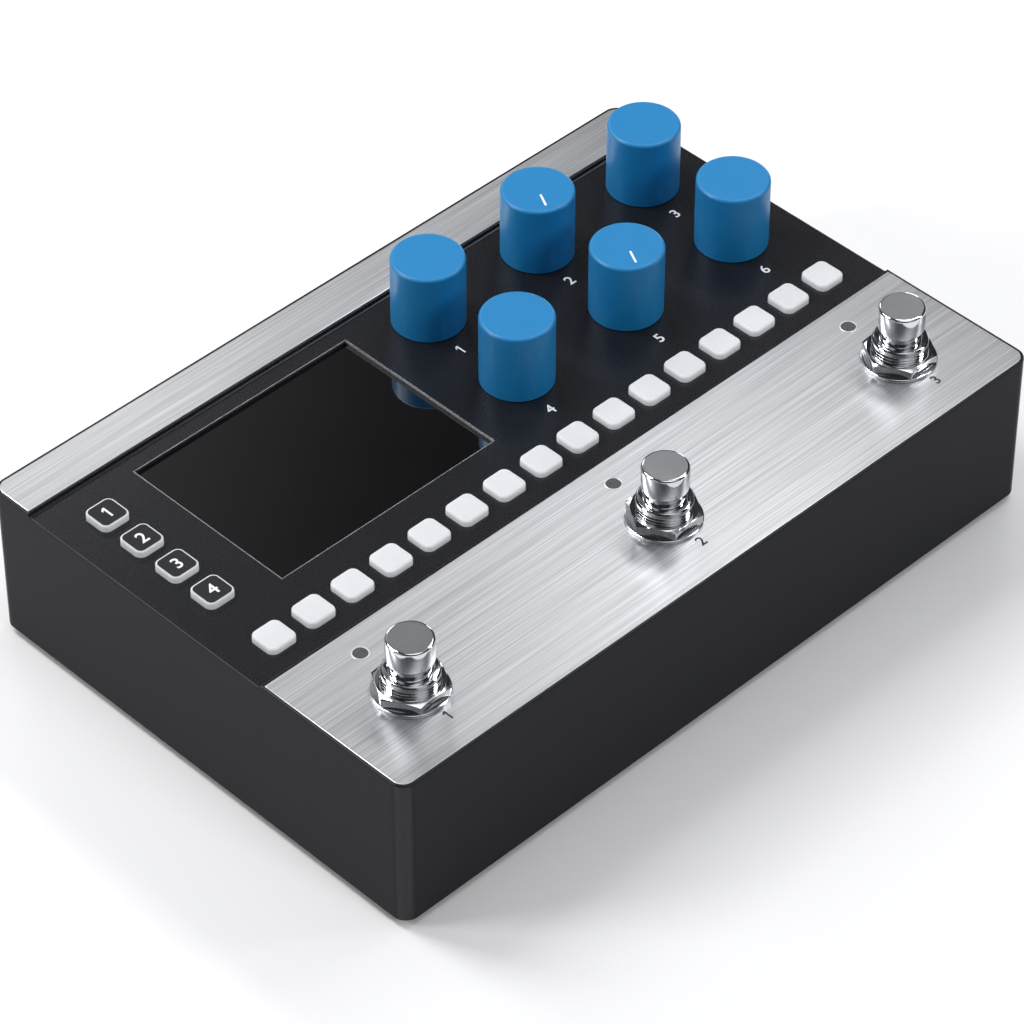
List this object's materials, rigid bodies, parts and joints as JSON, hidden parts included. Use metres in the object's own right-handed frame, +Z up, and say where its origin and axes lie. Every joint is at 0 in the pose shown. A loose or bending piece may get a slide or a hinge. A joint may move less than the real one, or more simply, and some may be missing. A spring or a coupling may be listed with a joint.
{
  "type": "drum machine pedal",
  "caption": "Low black case with brushed metal plates, a screen, step keys, numbered keys, blue turning knobs, chrome press foot switches, and audio, sync, USB and power sockets at the back.",
  "frame": {"origin": "on the floor under the middle of the case", "axes": "+X to the right across the width, +Y from the foot switches to the sockets at the back, +Z up"},
  "size_m": [0.182, 0.124, 0.0555],
  "materials": {
    "case_paint": "black powder coat on a cast case, satin",
    "lid_paint": "black powder coat on sheet steel, satin",
    "brushed_sheet": "straight brushed grain along the width",
    "screw_steel": "plated steel",
    "foot_rubber": "matte black rubber",
    "cover_glass": "black printed cover glass, gloss",
    "display": "display module, off",
    "key_white": "white translucent moulding, soft satin",
    "number_key": "white translucent moulding with a dark grey printed top",
    "switch_black": "moulded switch housing",
    "knob_blue": "blue satin moulding",
    "spindle_steel": "turned spindle",
    "control_metal": "zinc plated body and bush",
    "chrome": "bright chrome plate",
    "light_lens": "smoked clear lens, off",
    "board_green": "printed circuit board",
    "socket_black": "moulded socket",
    "usb_shell": "rolled steel shell"
  },
  "bodies": {
    "case": {"chassis": "case_paint", "front_plate": "brushed_sheet", "back_plate": "brushed_sheet", "bottom_plate": "lid_paint", "bottom_screws": "screw_steel", "feet": "foot_rubber", "screen_glass": "cover_glass", "display_module": "display", "key_switches": "switch_black", "encoder_bodies": "control_metal", "pot_bodies": "control_metal", "control_nuts": "control_metal", "foot_switch_bodies": "chrome", "foot_switch_nuts": "chrome", "foot_switch_washers": "chrome", "status_lights": "light_lens", "panel_board": "board_green", "board_screws": "screw_steel", "jack_board": "board_green", "board_link": "switch_black", "audio_jacks": "socket_black", "jack_nuts": "chrome", "sync_jacks": "socket_black", "usb_socket": "usb_shell", "power_socket": "socket_black"},
    "step_key_01": {"step_key_01": "key_white"},
    "step_key_02": {"step_key_02": "key_white"},
    "step_key_03": {"step_key_03": "key_white"},
    "step_key_04": {"step_key_04": "key_white"},
    "step_key_05": {"step_key_05": "key_white"},
    "step_key_06": {"step_key_06": "key_white"},
    "step_key_07": {"step_key_07": "key_white"},
    "step_key_08": {"step_key_08": "key_white"},
    "step_key_09": {"step_key_09": "key_white"},
    "step_key_10": {"step_key_10": "key_white"},
    "step_key_11": {"step_key_11": "key_white"},
    "step_key_12": {"step_key_12": "key_white"},
    "step_key_13": {"step_key_13": "key_white"},
    "step_key_14": {"step_key_14": "key_white"},
    "step_key_15": {"step_key_15": "key_white"},
    "step_key_16": {"step_key_16": "key_white"},
    "number_key_1": {"number_key_1": "number_key"},
    "number_key_2": {"number_key_2": "number_key"},
    "number_key_3": {"number_key_3": "number_key"},
    "number_key_4": {"number_key_4": "number_key"},
    "knob_back_left": {"knob_back_left": "knob_blue", "spindle_back_left": "spindle_steel"},
    "knob_back_middle": {"knob_back_middle": "knob_blue", "spindle_back_middle": "spindle_steel"},
    "knob_back_right": {"knob_back_right": "knob_blue", "spindle_back_right": "spindle_steel"},
    "knob_front_left": {"knob_front_left": "knob_blue", "spindle_front_left": "spindle_steel"},
    "knob_front_middle": {"knob_front_middle": "knob_blue", "spindle_front_middle": "spindle_steel"},
    "knob_front_right": {"knob_front_right": "knob_blue", "spindle_front_right": "spindle_steel"},
    "foot_button_left": {"foot_button_left": "chrome"},
    "foot_button_middle": {"foot_button_middle": "chrome"},
    "foot_button_right": {"foot_button_right": "chrome"}
  },
  "joints": [
    {"name": "step_key_01_press", "type": "slide", "parent": "case", "child": "step_key_01", "axis": [0, 0, -1], "range_m": [0, 0.0008], "stiffness_N_per_m": 1500},
    {"name": "step_key_02_press", "type": "slide", "parent": "case", "child": "step_key_02", "axis": [0, 0, -1], "range_m": [0, 0.0008], "stiffness_N_per_m": 1500},
    {"name": "step_key_03_press", "type": "slide", "parent": "case", "child": "step_key_03", "axis": [0, 0, -1], "range_m": [0, 0.0008], "stiffness_N_per_m": 1500},
    {"name": "step_key_04_press", "type": "slide", "parent": "case", "child": "step_key_04", "axis": [0, 0, -1], "range_m": [0, 0.0008], "stiffness_N_per_m": 1500},
    {"name": "step_key_05_press", "type": "slide", "parent": "case", "child": "step_key_05", "axis": [0, 0, -1], "range_m": [0, 0.0008], "stiffness_N_per_m": 1500},
    {"name": "step_key_06_press", "type": "slide", "parent": "case", "child": "step_key_06", "axis": [0, 0, -1], "range_m": [0, 0.0008], "stiffness_N_per_m": 1500},
    {"name": "step_key_07_press", "type": "slide", "parent": "case", "child": "step_key_07", "axis": [0, 0, -1], "range_m": [0, 0.0008], "stiffness_N_per_m": 1500},
    {"name": "step_key_08_press", "type": "slide", "parent": "case", "child": "step_key_08", "axis": [0, 0, -1], "range_m": [0, 0.0008], "stiffness_N_per_m": 1500},
    {"name": "step_key_09_press", "type": "slide", "parent": "case", "child": "step_key_09", "axis": [0, 0, -1], "range_m": [0, 0.0008], "stiffness_N_per_m": 1500},
    {"name": "step_key_10_press", "type": "slide", "parent": "case", "child": "step_key_10", "axis": [0, 0, -1], "range_m": [0, 0.0008], "stiffness_N_per_m": 1500},
    {"name": "step_key_11_press", "type": "slide", "parent": "case", "child": "step_key_11", "axis": [0, 0, -1], "range_m": [0, 0.0008], "stiffness_N_per_m": 1500},
    {"name": "step_key_12_press", "type": "slide", "parent": "case", "child": "step_key_12", "axis": [0, 0, -1], "range_m": [0, 0.0008], "stiffness_N_per_m": 1500},
    {"name": "step_key_13_press", "type": "slide", "parent": "case", "child": "step_key_13", "axis": [0, 0, -1], "range_m": [0, 0.0008], "stiffness_N_per_m": 1500},
    {"name": "step_key_14_press", "type": "slide", "parent": "case", "child": "step_key_14", "axis": [0, 0, -1], "range_m": [0, 0.0008], "stiffness_N_per_m": 1500},
    {"name": "step_key_15_press", "type": "slide", "parent": "case", "child": "step_key_15", "axis": [0, 0, -1], "range_m": [0, 0.0008], "stiffness_N_per_m": 1500},
    {"name": "step_key_16_press", "type": "slide", "parent": "case", "child": "step_key_16", "axis": [0, 0, -1], "range_m": [0, 0.0008], "stiffness_N_per_m": 1500},
    {"name": "number_key_1_press", "type": "slide", "parent": "case", "child": "number_key_1", "axis": [0, 0, -1], "range_m": [0, 0.0008], "stiffness_N_per_m": 1500},
    {"name": "number_key_2_press", "type": "slide", "parent": "case", "child": "number_key_2", "axis": [0, 0, -1], "range_m": [0, 0.0008], "stiffness_N_per_m": 1500},
    {"name": "number_key_3_press", "type": "slide", "parent": "case", "child": "number_key_3", "axis": [0, 0, -1], "range_m": [0, 0.0008], "stiffness_N_per_m": 1500},
    {"name": "number_key_4_press", "type": "slide", "parent": "case", "child": "number_key_4", "axis": [0, 0, -1], "range_m": [0, 0.0008], "stiffness_N_per_m": 1500},
    {"name": "knob_back_left_turn", "type": "hinge", "parent": "case", "child": "knob_back_left", "pos_m": [0.01005, 0.03726, 0.0406], "axis": [0, 0, 1], "continuous": true},
    {"name": "knob_back_middle_turn", "type": "hinge", "parent": "case", "child": "knob_back_middle", "pos_m": [0.04255, 0.03726, 0.0406], "axis": [0, 0, 1], "range_deg": [-300, 0]},
    {"name": "knob_back_right_turn", "type": "hinge", "parent": "case", "child": "knob_back_right", "pos_m": [0.07505, 0.03726, 0.0406], "axis": [0, 0, 1], "continuous": true},
    {"name": "knob_front_left_turn", "type": "hinge", "parent": "case", "child": "knob_front_left", "pos_m": [0.01005, 0.01051, 0.0406], "axis": [0, 0, 1], "continuous": true},
    {"name": "knob_front_middle_turn", "type": "hinge", "parent": "case", "child": "knob_front_middle", "pos_m": [0.04255, 0.01051, 0.0406], "axis": [0, 0, 1], "range_deg": [-300, 0]},
    {"name": "knob_front_right_turn", "type": "hinge", "parent": "case", "child": "knob_front_right", "pos_m": [0.07505, 0.01051, 0.0406], "axis": [0, 0, 1], "continuous": true},
    {"name": "foot_button_left_press", "type": "slide", "parent": "case", "child": "foot_button_left", "axis": [0, 0, -1], "range_m": [0, 0.0022], "stiffness_N_per_m": 3000},
    {"name": "foot_button_middle_press", "type": "slide", "parent": "case", "child": "foot_button_middle", "axis": [0, 0, -1], "range_m": [0, 0.0022], "stiffness_N_per_m": 3000},
    {"name": "foot_button_right_press", "type": "slide", "parent": "case", "child": "foot_button_right", "axis": [0, 0, -1], "range_m": [0, 0.0022], "stiffness_N_per_m": 3000}
  ]
}
